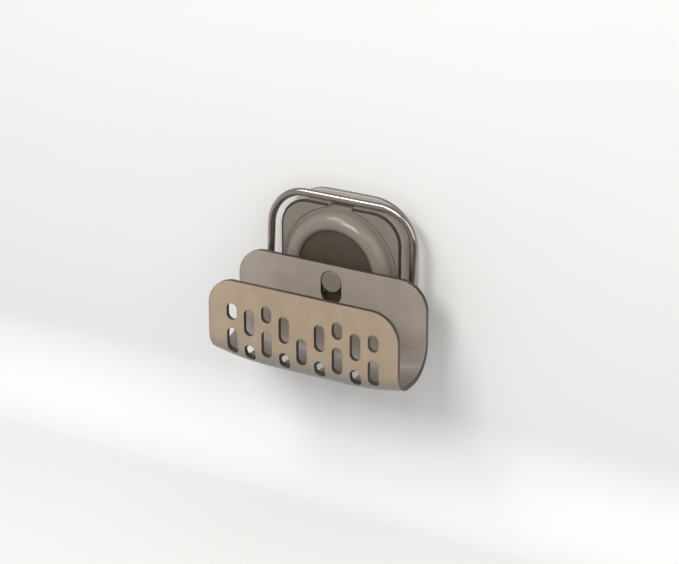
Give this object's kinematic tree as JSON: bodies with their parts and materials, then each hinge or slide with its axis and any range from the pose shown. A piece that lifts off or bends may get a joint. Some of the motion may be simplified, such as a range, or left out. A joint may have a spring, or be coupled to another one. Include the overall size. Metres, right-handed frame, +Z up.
{
  "type": "sponge holder",
  "caption": "Wall-hung sponge trough with a slotted front and open ends, hung on a lever-locked suction pad with a bent-wire bail.",
  "frame": {"origin": "middle of the suction pad's sealing face, on the wall", "axes": "+Y into the wall, -Y out towards the user, +Z up, +X to the right seen from the front"},
  "size_m": [0.115, 0.0565, 0.0909],
  "materials": {
    "tray_plastic": "smoky translucent moulded plastic, satin",
    "cover_plastic": "smoky translucent moulded plastic, glossy",
    "pad_rubber": "soft translucent grey, smooth",
    "steel_wire": "polished stainless wire",
    "base_plastic": "moulded, fine matte",
    "slip_plastic": "natural acetal",
    "cam_plastic": "glass-filled nylon",
    "bush_brass": "turned",
    "fastener_steel": "zinc plated"
  },
  "bodies": {
    "base": {"base_plate": "base_plastic", "cover_frame": "cover_plastic", "dome_cap": "cover_plastic", "cap_screws": "fastener_steel", "stud_bush": "bush_brass", "suction_cup": "pad_rubber"},
    "stud": {"cup_stud": "fastener_steel", "pull_block": "slip_plastic", "stud_washer": "fastener_steel", "stud_nut": "fastener_steel"},
    "lever": {"bail": "steel_wire", "cam_left": "cam_plastic", "cam_right": "cam_plastic", "cam_pin_left": "fastener_steel", "cam_pin_right": "fastener_steel"},
    "tray": {"tray": "tray_plastic"}
  },
  "joints": [
    {"name": "stud_pull", "type": "slide", "parent": "base", "child": "stud", "axis": [0, 1, 0], "range_m": [0, 0.00319], "deforming": ["suction_cup"]},
    {"name": "lever_swing", "type": "hinge", "parent": "stud", "child": "lever", "pos_m": [0, -0.01388, -0.006], "axis": [1, 0, 0], "range_deg": [0, 30]},
    {"name": "tray_lift", "type": "slide", "parent": "base", "child": "tray", "axis": [0, 0, 1], "range_m": [0, 0.0065]}
  ],
  "couplings": [
    {"joint": "stud_pull", "follows": "lever_swing", "m_per_rad": 0.006}
  ]
}
